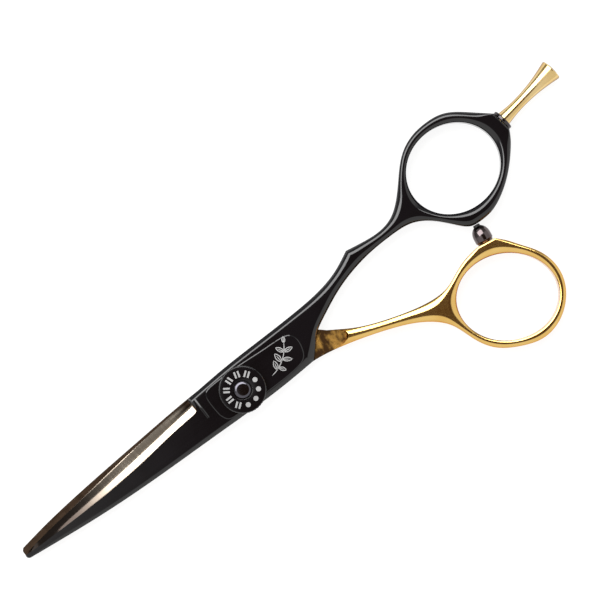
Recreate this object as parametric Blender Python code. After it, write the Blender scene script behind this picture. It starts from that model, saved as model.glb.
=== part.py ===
"""Hair cutting shears, 6 inch class, closed and lying flat: two forged halves on a ball-bearing pivot.

Frame: origin on the pivot axis, on the pivot bolt's flat back face. +X towards the rings, +Y to the
finger ring's side, +Z out of the tension dial. Lengths below are in millimetres; MM turns them into
Blender's metres when a mesh is made.
"""

import math

import bmesh
import bpy
import numpy as np
from mathutils import Matrix, Vector
from mathutils.geometry import tessellate_polygon

MM = 0.001

# Heights of the layers, from the resting plane up.
CONTACT_Z = 3.25  # the plane where the two halves meet
BLADE_GAP = 0.05  # each half's inner face stands this far from that plane
BODY_OUT = 5.5  # outer face of a half around the pivot
TIP_THICK = 0.9  # thickness of a half at its tip
HANDLE_LOW = 0.5  # shanks and rings, both halves
HANDLE_HIGH = 6.0
EDGE_LAND = 0.15  # thickness left at the cutting edge
ROUND = 0.55  # edge rounding of the halves
ROUND_STEPS = 2
CREASE = 40  # degrees

# Lap: inside this radius each half has only its own side of the contact plane.
FINGER_LAP_RADIUS = 25.5
THUMB_LAP_RADIUS = 27.7

# Pivot, as radii unless named otherwise.
HEAD_RADIUS = 4.6
HEAD_THICK = 0.9
NECK_RADIUS = 1.9
NECK_FLAT = 1.6  # distance from the axis to each flat that keys the bolt in the thumb half
SHAFT_RADIUS = 1.5
SHAFT_FLAT = 1.2
SHAFT_TOP = 6.75
SHAFT_LOW = 3.1  # where the keyed neck ends and the round shaft starts
THREAD_LOW = 5.35  # where the flats that key the click spring start
BOLT_BORE_RADIUS = 0.8
BOLT_BORE_Z = 5.7  # floor of the bore that the cap's shank goes down
SPANNER_RADIUS = 0.45
SPANNER_OFFSET = 2.7  # from the axis to each of the two spanner holes in the bolt's head
SPANNER_DEPTH = 0.5
FIT_GAP = 0.1
BEVEL = 0.25  # on the bolt's head and the dial's rims
BUSH_RADIUS = 2.0
GROOVE_INNER = 2.5
GROOVE_OUTER = 4.4
GROOVE_DEPTH = 0.55
BALL_RADIUS = 0.5
BALL_COUNT = 8
BALL_PITCH_RADIUS = 3.45
POCKET_GAP = 0.08  # between a ball and its pocket in the cage
POCKET_TURN = 0.11  # radians that the pockets' corners are turned off the axes
CAGE_THICK = 0.3
COUNTERBORE_RADIUS = 4.4
COUNTERBORE_Z = 5.0
WASHER_INNER = 1.7
WASHER_OUTER = 4.2  # the washer's and the click spring's
WASHER_LEVELS = (COUNTERBORE_Z + 0.08, COUNTERBORE_Z + 0.26)
SPRING_LEVELS = (5.48, 5.66)
DIAL_RADIUS = 5.65
DIAL_FLUTES = 36
DIAL_FLUTE_DEPTH = 0.14
DIAL_LOW = 5.76
DIAL_HIGH = 7.1
WELL_RADIUS = 2.35
WELL_Z = 6.6
CAP_RADIUS = 2.04
CAP_LOW = 6.85
CAP_HIGH = 7.9
CAP_EDGE = 0.25  # height of the straight edge below the dome
CAP_SHANK_RADIUS = 0.7
CAP_SHANK_LOW = 5.85

# Rings: centre, half axes and the angle of the longer axis.
FINGER_HOLE = ((71.25, 11.8), (11.6, 10.45), 0.0)
THUMB_HOLE = ((63.3, -20.25), (12.25, 10.35), -29.3)

# Finger rest: where its collar sits on the finger ring, and the way it points in the XY plane.
REST_SEAT = (86.95, 13.8)
REST_ANGLE = 9.0
REST_LENGTH = 17.2
COLLAR_THICK = 0.9
COLLAR_RADIUS = 2.65
COLLAR_BORE = 1.1  # also the radius of the rest's hole in the ring
COLLAR_BEVEL = 0.2
REST_STUD_RADIUS = 1.0
REST_STUD_LENGTH = 2.6
REST_SIDE = ((1.45, 4.4), (1.42, 7.9), (1.8, 12.2))  # waist of the rest, as radius and distance along
REST_HOLE_DEPTH = 2.9

# Bumper: where it sits on the thumb ring, and the way it points.
BUMPER_SEAT = (66.9, -7.0)
BUMPER_ANGLE = 82.0
BUMPER_RADIUS = 2.2
BUMPER_LENGTH = 4.5
BUMPER_STUD_RADIUS = 0.9
BUMPER_STUD_LENGTH = 1.5
BUMPER_HOLE = (1.0, 1.7)  # radius and depth of its hole in the thumb ring
SOCKET_RADIUS = 0.95
SOCKET_Z = 2.6  # floor of the pad's socket, along the bumper
PAD_RADIUS = 0.85

# Outlines in the XY plane, as corners to run a smooth curve through. A third value is the width of
# the slope that starts there; without it the edge is rounded by ROUND.
FINGER_EDGE = (
    (-64.8, -0.3, 0.25), (-60, 0.5, 1.15), (-50, 1.75, 2.75), (-40, 2.95, 3.35),
    (-30, 4.1, 3.5), (-20, 5.05, 3.35), (-14, 5.6, 3.5),
)
FINGER_SHOULDER = ((-14, 5.6, 3.5), (-12.5, 5.75, 3.1), (-11.8, 5.85, 1.8), (-11.4, 5.9, ROUND))
FINGER_BACK = ((-11.4, 5.95), (0, 6.7), (10, 6.9), (20, 7.1), (28, 7.7), (34, 9.1), (39.2, 11.5))
FINGER_RING_TOP = (
    (39.2, 11.5), (44, 10.7), (48, 10.4), (52, 11.2), (56, 14), (60, 18.3), (64, 22),
    (68, 23.8), (72, 24.3), (77, 23.6), (82, 20.3), (86.55, 16.4),
)
FINGER_RING_LOW = (
    (87.35, 11.2), (86.2, 9.1), (84.6, 7.0), (80, 2.4), (76, -0.3), (72, -1.85), (69, -2.05), (66.6, -1.75),
    (64, 0.4), (60, 4.7), (56, 7.2), (50, 7.95), (44, 7.75), (38, 6.8), (32, 5.0),
    (26, 2.3), (22, 0), (19.6, -2.4), (17.5, -4.7),
)
FINGER_SPINE = (
    (17.5, -4.7), (8, -5.15), (-2, -5.15), (-12, -4.9), (-30, -4.45), (-45, -3.6), (-58, -2.3),
    (-64.2, -1.6),
)
FINGER_TIP = ((-64.2, -1.6), (-64.65, -1.25), (-64.8, -0.9))

THUMB_SPINE = (
    (-64.8, 0.6), (-64.2, 1.3), (-58, 2.3), (-45, 3.75), (-30, 4.9), (-20, 5.6), (-12, 6.05),
    (-4, 6.2), (4, 5.8), (12, 4.5), (18, 3.0), (21.5, 1.5), (24.3, -0.8),
)
THUMB_SHANK_TOP = (
    (24.3, -0.8), (27, -2.5), (30, -4.3), (36, -6.9), (42, -8.8), (49, -10.15), (53, -9.95),
    (57, -8.4), (61, -7.05), (64.7, -6.6),
)
THUMB_RING = (
    (69.1, -7.3), (71, -9.3), (73, -12.1), (75.4, -15.6), (76.9, -20.6), (76.3, -25),
    (73.6, -29.2), (69.5, -32.1), (64.5, -33.1), (58.6, -31.3), (53.6, -27.9), (50.9, -23.4),
    (48.6, -17.6), (46, -14.7), (42, -12.0), (36, -9.4), (30, -7.4), (24, -5.8), (17.5, -4.75),
    (8, -4.9), (-2, -4.95), (-11.4, -4.6),
)
THUMB_SHOULDER = ((-11.4, -4.6, ROUND), (-11.8, -4.55, 1.8), (-12.5, -4.5, 2.9), (-14, -4.4, 3.2))
THUMB_EDGE = (
    (-14, -4.4, 3.2), (-20, -4.1, 3.3), (-30, -3.5, 3.4), (-40, -2.75, 3.3), (-50, -1.85, 2.7),
    (-60, -0.95, 1.3), (-64.8, -0.4, 0.3),
)


# --- Helpers ---------------------------------------------------------------------------------


def material(name, colour, metallic, roughness):
    """A plain Principled material."""
    mat = bpy.data.materials.new(name)
    mat.use_nodes = True
    shader = mat.node_tree.nodes["Principled BSDF"]
    shader.inputs["Base Color"].default_value = (*colour, 1)
    shader.inputs["Metallic"].default_value = metallic
    shader.inputs["Roughness"].default_value = roughness
    mat.diffuse_color = (*colour, 1)
    return mat


def add_object(name, mesh, mat, parent=None):
    """Links a named object for a mesh, smooth where its faces meet at under CREASE degrees."""
    mesh.shade_smooth()
    mesh.set_sharp_from_angle(angle=math.radians(CREASE))
    if mat is not None and not mesh.materials:
        mesh.materials.append(mat)
    obj = bpy.data.objects.new(name, mesh)
    bpy.context.scene.collection.objects.link(obj)
    obj.parent = parent
    return obj


def add_axis(name, parent=None):
    """An empty on the pivot axis, which carries what turns about it."""
    empty = bpy.data.objects.new(name, None)
    bpy.context.scene.collection.objects.link(empty)
    empty.parent = parent
    return empty


def mesh_of(name, points, faces):
    """A mesh from points in millimetres."""
    mesh = bpy.data.meshes.new(name)
    mesh.from_pydata([Vector(p) * MM for p in points], [], faces)
    mesh.validate()
    return mesh


def smooth_through(corners, count):
    """`count` + 1 points, evenly spaced, on the centripetal Catmull-Rom curve through the corners."""
    knots = np.array(corners, float)
    knots = np.vstack([2 * knots[0] - knots[1], knots, 2 * knots[-1] - knots[-2]])
    gaps = np.sqrt(np.linalg.norm(np.diff(knots[:, :2], axis=0), axis=1))
    dense = []
    for i in range(1, len(knots) - 2):
        chord = knots[i + 1] - knots[i]
        before = (knots[i] - knots[i - 1]) / gaps[i - 1]
        across = chord / gaps[i]
        after = (knots[i + 2] - knots[i + 1]) / gaps[i + 1]
        leave = gaps[i] * (before * gaps[i] + across * gaps[i - 1]) / (gaps[i - 1] + gaps[i])
        arrive = gaps[i] * (across * gaps[i + 1] + after * gaps[i]) / (gaps[i] + gaps[i + 1])
        for t in np.linspace(0, 1, 24, endpoint=False):
            dense.append(
                knots[i]
                + leave * t
                + (3 * chord - 2 * leave - arrive) * t**2
                + (leave + arrive - 2 * chord) * t**3
            )
    dense = np.array([*dense, knots[-2]])
    run = np.concatenate([[0], np.cumsum(np.linalg.norm(np.diff(dense[:, :2], axis=0), axis=1))])
    stops = np.linspace(0, run[-1], count + 1)
    return np.stack([np.interp(stops, run, column) for column in dense.T], axis=1)


def joined(*stretches):
    """One loop of (x, y, slope width) rows from stretches of (corners, count) that follow each other."""
    rows = []
    for corners, count in stretches:
        curve = smooth_through(corners, count)
        if curve.shape[1] == 2:
            curve = np.column_stack([curve, np.full(len(curve), ROUND)])
        if rows and np.allclose(rows[-1][:2], curve[0][:2], atol=0.2):
            curve = curve[1:]
        rows.extend(curve)
    if np.allclose(rows[0][:2], rows[-1][:2], atol=0.2):
        rows.pop()
    return np.array(rows)


def ellipse(hole, count):
    """Clockwise loop of (x, y, slope width) rows round an elliptical hole."""
    (cx, cy), (a, b), tilt = hole
    turn = -np.linspace(0, 2 * math.pi, count, endpoint=False)
    x, y = a * np.cos(turn), b * np.sin(turn)
    c, s = math.cos(math.radians(tilt)), math.sin(math.radians(tilt))
    return np.column_stack([cx + c * x - s * y, cy + s * x + c * y, np.full(count, ROUND)])


def counter_clockwise(loop):
    x, y = loop[:, 0], loop[:, 1]
    area = np.dot(x, np.roll(y, -1)) - np.dot(y, np.roll(x, -1))
    return loop if area > 0 else loop[::-1]


def inward(loop):
    """Unit normals to the left of a loop, lengthened at corners so that offsets stay parallel."""
    edge = np.roll(loop[:, :2], -1, axis=0) - loop[:, :2]
    edge /= np.linalg.norm(edge, axis=1)[:, None]
    left = np.column_stack([-edge[:, 1], edge[:, 0]])
    mean = left + np.roll(left, 1, axis=0)
    mean /= np.linalg.norm(mean, axis=1)[:, None]
    return mean / np.maximum(0.7, (mean * left).sum(axis=1))[:, None]


def outer_face(x):
    """Height of a half's outer face: thin at the tip, full at the pivot, a little more at the rings."""
    tip = CONTACT_Z + BLADE_GAP + TIP_THICK
    return np.interp(x, (-64.8, -40, -10, 20, 45), (tip, 4.95, BODY_OUT, BODY_OUT, HANDLE_HIGH))


def outline_rings(loop):
    """The loop's closed rings from the underside to the outer face, as (x, y, z) rows."""
    normal = inward(loop)
    slope = loop[:, 2]
    top = outer_face(loop[:, 0])
    ground = slope > ROUND + 0.01
    blade = (slope < ROUND - 0.01) | ground
    wall_top = np.where(blade, CONTACT_Z + BLADE_GAP + EDGE_LAND, top - ROUND)
    rings = []

    def ring(offset, z):
        rings.append(np.column_stack([loop[:, :2] + normal * offset[:, None], z]))

    low = np.minimum(slope, ROUND)
    for step in range(ROUND_STEPS):
        angle = math.pi / 2 * step / ROUND_STEPS
        ring(low * (1 - math.sin(angle)), np.full(len(loop), HANDLE_LOW + ROUND * (1 - math.cos(angle))))
    ring(0 * slope, np.full(len(loop), HANDLE_LOW + ROUND))
    ring(0 * slope, wall_top)
    for step in range(1, ROUND_STEPS + 1):
        angle = math.pi / 2 * step / ROUND_STEPS
        across = np.where(blade, step / ROUND_STEPS, 1 - math.cos(angle))
        up = np.where(blade, step / ROUND_STEPS, math.sin(angle))
        ring(slope * across, wall_top + (top - wall_top) * up)
    return rings


def half_solid(outline, hole):
    """A half with its outer face up: rings of points up each wall, and caps between the last ones."""
    walls = [outline_rings(counter_clockwise(outline)), outline_rings(hole)]
    points = []
    faces = []
    bottom_loops = []
    top_loops = []
    for rings in walls:
        start = len(points)
        count = len(rings[0])
        for ring in rings:
            points.extend(ring)
        for level in range(len(rings) - 1):
            a = start + level * count
            b = a + count
            for i in range(count):
                j = (i + 1) % count
                faces.append((a + i, a + j, b + j, b + i))
        bottom_loops.append(range(start, start + count))
        top_loops.append(range(len(points) - count, len(points)))
    for loops, turned_over in ((bottom_loops, True), (top_loops, False)):
        order = [index for loop in loops for index in loop]
        flat = [[Vector((*points[index][:2], 0)) for index in loop] for loop in loops]
        for triangle in tessellate_polygon(flat):
            a, b, c = (Vector(points[order[k]][:2]) for k in triangle)
            clockwise = (b - a).cross(c - a) < 0
            corner = triangle if clockwise == turned_over else triangle[::-1]
            faces.append([order[k] for k in corner])
    return points, faces


def turned(profile, sides):
    """A solid of revolution about Z. Profile rows are (radius, z) or (radius, z, flat), where a flat
    cuts the circle at that distance each way along X. A profile that stays off the axis closes on
    itself, and one that starts and ends on the axis is closed by its two poles."""
    points = []
    rows = []
    for radius, z, *flat in profile:
        if radius == 0:
            rows.append([len(points)] * sides)
            points.append((0, 0, z))
            continue
        rows.append(list(range(len(points), len(points) + sides)))
        for k in range(sides):
            angle = 2 * math.pi * k / sides
            reach = min(radius, flat[0] / max(abs(math.cos(angle)), 1e-6)) if flat else radius
            points.append((reach * math.cos(angle), reach * math.sin(angle), z))
    if profile[0][0] > 0:
        rows.append(rows[0])
    faces = []
    for lower, upper in zip(rows, rows[1:]):
        for k in range(sides):
            j = (k + 1) % sides
            face = dict.fromkeys((lower[k], lower[j], upper[j], upper[k]))
            faces.append(tuple(face))
    return points, faces


def prism(outline, low, high):
    """A straight prism on a counter-clockwise outline of (x, y) rows."""
    count = len(outline)
    points = [(x, y, z) for z in (low, high) for x, y in outline]
    faces = [tuple(range(count))[::-1], tuple(range(count, 2 * count))]
    faces += [(i, (i + 1) % count, (i + 1) % count + count, i + count) for i in range(count)]
    return points, faces


def drill(radius, low, high):
    """A round cutter between two heights."""
    return turned([(0, low), (radius, low), (radius, high), (0, high)], 16)


def cut(obj, solid, name, matrix=None):
    """Takes a solid away from the object, through a hidden cutter and a Boolean modifier."""
    cutter = add_object(name, mesh_of(name, *solid), None)
    if matrix is not None:
        cutter.matrix_world = matrix
    cutter.hide_render = True
    cutter.display_type = "WIRE"
    boolean = obj.modifiers.new(name, "BOOLEAN")
    boolean.object = cutter
    boolean.operation = "DIFFERENCE"
    boolean.solver = "EXACT"
    return cutter


def pointing(place, angle):
    """The matrix that stands a piece made along +Z on a point at mid-height, pointing in the XY plane."""
    place = Matrix.Translation(Vector((*place, CONTACT_Z)) * MM)
    return place @ Matrix.Rotation(math.radians(angle), 4, "Z") @ Matrix.Rotation(math.pi / 2, 4, "Y")


def mirrored_in_contact_plane(solid):
    points, faces = solid
    return [(x, y, 2 * CONTACT_Z - z) for x, y, z in points], [face[::-1] for face in faces]


def lap(radius):
    """The space below the contact plane that a half leaves to the other one, around the pivot."""
    reach = math.radians(50)
    arc = [(radius * math.cos(t), radius * math.sin(t)) for t in np.linspace(-reach, reach, 21)]
    return prism([(-70, -25), *arc, (-70, 25)], -1, CONTACT_Z + BLADE_GAP)


def ring_groove(low, high):
    """The ball groove, as a flat ring to take away."""
    return turned([(GROOVE_INNER, low), (GROOVE_OUTER, low), (GROOVE_OUTER, high), (GROOVE_INNER, high)], 40)


# --- The two halves --------------------------------------------------------------------------


def finger_blade(mat):
    outline = joined(
        (FINGER_EDGE, 12), (FINGER_SHOULDER, 4), (FINGER_BACK, 12), (FINGER_RING_TOP, 26),
        (FINGER_RING_LOW, 38), (FINGER_SPINE, 12), (FINGER_TIP, 2),
    )
    solid = half_solid(outline, ellipse(FINGER_HOLE, 40))
    half = add_object("finger_blade", mesh_of("finger_blade", *solid), mat)
    cut(half, lap(FINGER_LAP_RADIUS), "cut_finger_lap")
    top = HANDLE_HIGH + 1
    bore = BUSH_RADIUS + FIT_GAP
    stepped = [(0, 2), (bore, 2), (bore, COUNTERBORE_Z), (COUNTERBORE_RADIUS, COUNTERBORE_Z)]
    cut(half, turned([*stepped, (COUNTERBORE_RADIUS, top), (0, top)], 40), "cut_finger_bore")
    inner = CONTACT_Z + BLADE_GAP
    cut(half, ring_groove(inner - 0.5, inner + GROOVE_DEPTH), "cut_finger_groove")
    hole = drill(COLLAR_BORE, -REST_HOLE_DEPTH, 2)
    cut(half, hole, "cut_finger_rest_hole", pointing(REST_SEAT, REST_ANGLE))
    return half


def thumb_blade(mat, parent):
    outline = joined(
        (THUMB_SPINE, 22), (THUMB_SHANK_TOP, 14), (THUMB_RING, 52), (THUMB_SHOULDER, 4),
        (THUMB_EDGE, 12),
    )
    solid = mirrored_in_contact_plane(half_solid(outline, ellipse(THUMB_HOLE, 40)))
    half = add_object("thumb_blade", mesh_of("thumb_blade", *solid), mat, parent)
    cut(half, mirrored_in_contact_plane(lap(THUMB_LAP_RADIUS)), "cut_thumb_lap")
    flat = NECK_FLAT + FIT_GAP
    keyway = [(0, 0), (NECK_RADIUS + FIT_GAP, 0, flat), (NECK_RADIUS + FIT_GAP, 4, flat), (0, 4)]
    cut(half, turned(keyway, 40), "cut_thumb_keyway")
    inner = CONTACT_Z - BLADE_GAP
    cut(half, ring_groove(inner - GROOVE_DEPTH, inner + 0.5), "cut_thumb_groove")
    radius, depth = BUMPER_HOLE
    cut(half, drill(radius, -depth, 2), "cut_bumper_hole", pointing(BUMPER_SEAT, BUMPER_ANGLE))
    return half


# --- Pivot -----------------------------------------------------------------------------------


def pivot_bolt(mat, parent):
    """Flat head behind the thumb half, flats that key it, and a shaft that takes the dial's thread."""
    profile = [
        (0, 0), (HEAD_RADIUS - BEVEL, 0), (HEAD_RADIUS, BEVEL), (HEAD_RADIUS, HEAD_THICK),
        (NECK_RADIUS, HEAD_THICK, NECK_FLAT), (NECK_RADIUS, SHAFT_LOW, NECK_FLAT),
        (SHAFT_RADIUS, SHAFT_LOW), (SHAFT_RADIUS, THREAD_LOW), (SHAFT_RADIUS, THREAD_LOW, SHAFT_FLAT),
        (SHAFT_RADIUS, SHAFT_TOP, SHAFT_FLAT), (BOLT_BORE_RADIUS, SHAFT_TOP),
        (BOLT_BORE_RADIUS, BOLT_BORE_Z), (0, BOLT_BORE_Z),
    ]
    points, faces = turned(profile, 40)
    bolt = add_object("pivot_bolt", mesh_of("pivot_bolt", points, faces), mat, parent)
    spanner_pin = drill(SPANNER_RADIUS, -1, SPANNER_DEPTH)
    for side in (-1, 1):
        place = Matrix.Translation(Vector((SPANNER_OFFSET * side, 0, 0)) * MM)
        cut(bolt, spanner_pin, f"cut_spanner_hole_{side + 2}", place)
    return bolt


def pivot_bush(mat):
    inner = SHAFT_RADIUS + FIT_GAP
    low, high = CONTACT_Z + BLADE_GAP, COUNTERBORE_Z
    profile = [(inner, low), (BUSH_RADIUS, low), (BUSH_RADIUS, high), (inner, high)]
    return add_object("pivot_bush", mesh_of("pivot_bush", *turned(profile, 32)), mat)


def friction_washer(mat):
    low, high = WASHER_LEVELS
    profile = [(WASHER_INNER, low), (WASHER_OUTER, low), (WASHER_OUTER, high), (WASHER_INNER, high)]
    return add_object("friction_washer", mesh_of("friction_washer", *turned(profile, 32)), mat)


def click_spring(mat, parent):
    """Spring plate with flats, so that it turns with the bolt and slides along it."""
    low, high = SPRING_LEVELS
    bore, flat = SHAFT_RADIUS + FIT_GAP, SHAFT_FLAT + FIT_GAP
    profile = [(bore, low, flat), (WASHER_OUTER, low), (WASHER_OUTER, high), (bore, high, flat)]
    return add_object("click_spring", mesh_of("click_spring", *turned(profile, 40)), mat, parent)


def bearing_cage(mat, parent):
    low, high = CONTACT_Z - CAGE_THICK / 2, CONTACT_Z + CAGE_THICK / 2
    inner, outer = GROOVE_INNER + FIT_GAP, GROOVE_OUTER - FIT_GAP
    profile = [(inner, low), (outer, low), (outer, high), (inner, high)]
    cage = add_object("bearing_cage", mesh_of("bearing_cage", *turned(profile, 48)), mat, parent)
    pocket_radius = BALL_RADIUS + POCKET_GAP
    for number in range(BALL_COUNT):
        pocket = turned([(0, 2), (pocket_radius, 2), (pocket_radius, 5), (0, 5)], 12)
        place = Matrix.Translation(ball_place(number) * MM) @ Matrix.Rotation(POCKET_TURN, 4, "Z")
        cut(cage, pocket, f"cut_ball_pocket_{number + 1}", place)
    return cage


def ball_place(number):
    angle = 2 * math.pi * number / BALL_COUNT
    return Vector((math.cos(angle), math.sin(angle), 0)) * BALL_PITCH_RADIUS


def bearing_balls(mat, parent):
    bm = bmesh.new()
    bmesh.ops.create_uvsphere(bm, u_segments=12, v_segments=8, radius=BALL_RADIUS * MM)
    mesh = bpy.data.meshes.new("bearing_ball")
    bm.to_mesh(mesh)
    bm.free()
    for number in range(BALL_COUNT):
        ball = add_object(f"bearing_ball_{number + 1}", mesh, mat, parent)
        ball.location = (ball_place(number) + Vector((0, 0, CONTACT_Z))) * MM


def tension_dial(mat, parent):
    """Knurled nut with a well for the cap. Its thread is left as a plain bore."""
    bore = SHAFT_RADIUS + FIT_GAP
    rim = DIAL_RADIUS
    profile = [
        (bore, DIAL_LOW), (rim - BEVEL, DIAL_LOW), (rim, DIAL_LOW + BEVEL), (rim, DIAL_HIGH - BEVEL),
        (rim - BEVEL, DIAL_HIGH), (WELL_RADIUS, DIAL_HIGH), (WELL_RADIUS, WELL_Z), (bore, WELL_Z),
    ]
    sides = 2 * DIAL_FLUTES
    points, faces = turned(profile, sides)
    for row in (2, 3):
        for k in range(row * sides, (row + 1) * sides, 2):
            x, y, z = points[k]
            shrink = 1 - DIAL_FLUTE_DEPTH / rim
            points[k] = (x * shrink, y * shrink, z)
    return add_object("tension_dial", mesh_of("tension_dial", points, faces), mat, parent)


def dial_cap(mat, parent):
    """Domed screw whose shank goes down the bolt's bore."""
    shank = CAP_SHANK_RADIUS
    dome_low = CAP_LOW + CAP_EDGE
    dome = [
        (CAP_RADIUS * math.cos(t), dome_low + (CAP_HIGH - dome_low) * math.sin(t))
        for t in np.linspace(0, math.pi / 2, 7)[:-1]
    ]
    profile = [
        (0, CAP_SHANK_LOW), (shank, CAP_SHANK_LOW), (shank, CAP_LOW), (CAP_RADIUS, CAP_LOW),
        *dome, (0, CAP_HIGH),
    ]
    return add_object("dial_cap", mesh_of("dial_cap", *turned(profile, 32)), mat, parent)


# --- Finger rest and bumper ------------------------------------------------------------------


def finger_rest(mat):
    """Flared rest, waisted a third of the way along, with a stud that screws into the ring."""
    base = COLLAR_THICK + 2 * FIT_GAP
    side = smooth_through(((1.8, base), *REST_SIDE, (2.7, REST_LENGTH - 0.3)), 12)
    profile = [
        (0, -REST_STUD_LENGTH), (REST_STUD_RADIUS, -REST_STUD_LENGTH), (REST_STUD_RADIUS, base),
        *side, (2.6, REST_LENGTH),
        (1.5, REST_LENGTH + 0.35), (0, REST_LENGTH + 0.45),
    ]
    rest = add_object("finger_rest", mesh_of("finger_rest", *turned(profile, 28)), mat)
    rest.matrix_world = pointing(REST_SEAT, REST_ANGLE)
    return rest


def finger_rest_collar(mat):
    low = FIT_GAP
    high = low + COLLAR_THICK
    profile = [
        (COLLAR_BORE, low), (COLLAR_RADIUS - COLLAR_BEVEL, low), (COLLAR_RADIUS, low + COLLAR_BEVEL),
        (COLLAR_RADIUS, high - COLLAR_BEVEL), (COLLAR_RADIUS - COLLAR_BEVEL, high), (COLLAR_BORE, high),
    ]
    collar = add_object("finger_rest_collar", mesh_of("finger_rest_collar", *turned(profile, 28)), mat)
    collar.matrix_world = pointing(REST_SEAT, REST_ANGLE)
    return collar


def bumper_barrel(mat, parent):
    """Barrel with a foot flange and a stud below, and a socket for the pad in its end."""
    profile = [
        (0, -BUMPER_STUD_LENGTH), (BUMPER_STUD_RADIUS, -BUMPER_STUD_LENGTH),
        (BUMPER_STUD_RADIUS, FIT_GAP), (1.85, FIT_GAP), (1.95, 0.5), (BUMPER_RADIUS, 0.8),
        (BUMPER_RADIUS, 2.1), (2.1, 2.9), (1.7, 3.55), (SOCKET_RADIUS, 4.0),
        (SOCKET_RADIUS, SOCKET_Z), (0, SOCKET_Z),
    ]
    barrel = add_object("bumper_barrel", mesh_of("bumper_barrel", *turned(profile, 28)), mat, parent)
    barrel.matrix_world = pointing(BUMPER_SEAT, BUMPER_ANGLE)
    return barrel


def bumper_pad(mat, parent):
    profile = [
        (0, SOCKET_Z + FIT_GAP), (PAD_RADIUS, SOCKET_Z + FIT_GAP), (PAD_RADIUS, BUMPER_LENGTH),
        (0.6, BUMPER_LENGTH + 0.25),
        (0, BUMPER_LENGTH + 0.3),
    ]
    pad = add_object("bumper_pad", mesh_of("bumper_pad", *turned(profile, 20)), mat, parent)
    pad.matrix_world = pointing(BUMPER_SEAT, BUMPER_ANGLE)
    return pad


# --- Assembly --------------------------------------------------------------------------------


def build():
    for obj in list(bpy.data.objects):
        bpy.data.objects.remove(obj)

    black = material("black_coating", (0.012, 0.012, 0.014), 0.6, 0.22)
    gold = material("gold_plate", (0.9, 0.62, 0.2), 1.0, 0.15)
    steel = material("steel", (0.62, 0.6, 0.58), 1.0, 0.25)
    dark_metal = material("dark_metal", (0.05, 0.05, 0.055), 0.9, 0.25)
    bronze = material("bronze", (0.55, 0.35, 0.15), 1.0, 0.35)
    polymer = material("polymer", (0.75, 0.73, 0.68), 0.0, 0.5)
    soft = material("soft_pad", (0.02, 0.02, 0.02), 0.0, 0.6)

    thumb_axis = add_axis("thumb_half_pivot")
    bearing_axis = add_axis("bearing_pivot")
    click_axis = add_axis("dial_feed_axis", thumb_axis)
    dial_axis = add_axis("dial_axis", click_axis)

    finger_blade(black)
    pivot_bush(bronze)
    friction_washer(polymer)
    finger_rest(gold)
    finger_rest_collar(dark_metal)

    thumb_blade(gold, thumb_axis)
    pivot_bolt(steel, thumb_axis)
    dial_cap(dark_metal, thumb_axis)
    bumper_barrel(dark_metal, thumb_axis)
    bumper_pad(soft, thumb_axis)

    bearing_cage(bronze, bearing_axis)
    bearing_balls(steel, bearing_axis)
    click_spring(steel, click_axis)
    tension_dial(black, dial_axis)


build()
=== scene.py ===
"""The looks of the hair cutting shears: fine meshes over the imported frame, materials, lights and camera.

Lengths are in millimetres, in the frame's own axes: the origin is on the pivot axis at the bolt's flat
back, +X runs to the rings, +Y to the finger ring's side, +Z out of the dial. MM turns them into metres.
"""

import math

import bmesh
import bpy
import numpy as np
from mathutils import Matrix, Vector
from mathutils.geometry import delaunay_2d_cdt


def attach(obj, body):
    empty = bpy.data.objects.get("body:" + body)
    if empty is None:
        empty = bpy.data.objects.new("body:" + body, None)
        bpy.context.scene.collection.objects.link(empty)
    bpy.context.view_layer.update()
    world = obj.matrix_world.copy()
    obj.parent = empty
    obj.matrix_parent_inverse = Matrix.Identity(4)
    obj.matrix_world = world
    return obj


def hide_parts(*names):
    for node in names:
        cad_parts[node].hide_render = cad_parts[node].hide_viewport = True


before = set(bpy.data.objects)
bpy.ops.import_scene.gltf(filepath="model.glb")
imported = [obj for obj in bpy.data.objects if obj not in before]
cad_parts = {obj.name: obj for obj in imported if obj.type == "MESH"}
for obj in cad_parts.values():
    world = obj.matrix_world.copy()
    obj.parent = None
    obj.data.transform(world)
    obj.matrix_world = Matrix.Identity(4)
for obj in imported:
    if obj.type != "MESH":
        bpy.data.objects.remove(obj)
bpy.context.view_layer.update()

MM = 0.001
HERE = Matrix.Identity(4)

# Heights of the layers, as in the frame.
CONTACT_Z = 3.25
BLADE_GAP = 0.05
BODY_OUT = 5.5
TIP_THICK = 0.9
HANDLE_LOW = 0.5
HANDLE_HIGH = 6.0
EDGE_LAND = 0.06
UNDERSIDE_TOP = CONTACT_Z - 0.2
TAPER_START = -8
TAPER_POWER = 1.35
HANDLE_RISE_START = 19
HANDLE_RISE_RUN = 27
TIP_X = -64.8
FINGER_LAP_RADIUS = 25.5

# Section of the halves: a shoulder at the edge, then a slight crown up to the flat. A shoulder's slope
# in degrees is given at shares of its width, from the edge inwards, and the grind's slope likewise, as
# a tangent that is scaled to the rise it has.
SHOULDER_STEPS = 12
CROWN_STEPS = 2
CROWN_SLOPE = 1.5
CROWN_WIDTH = 1.2
RIM_OVERLAP = 0.02
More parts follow.
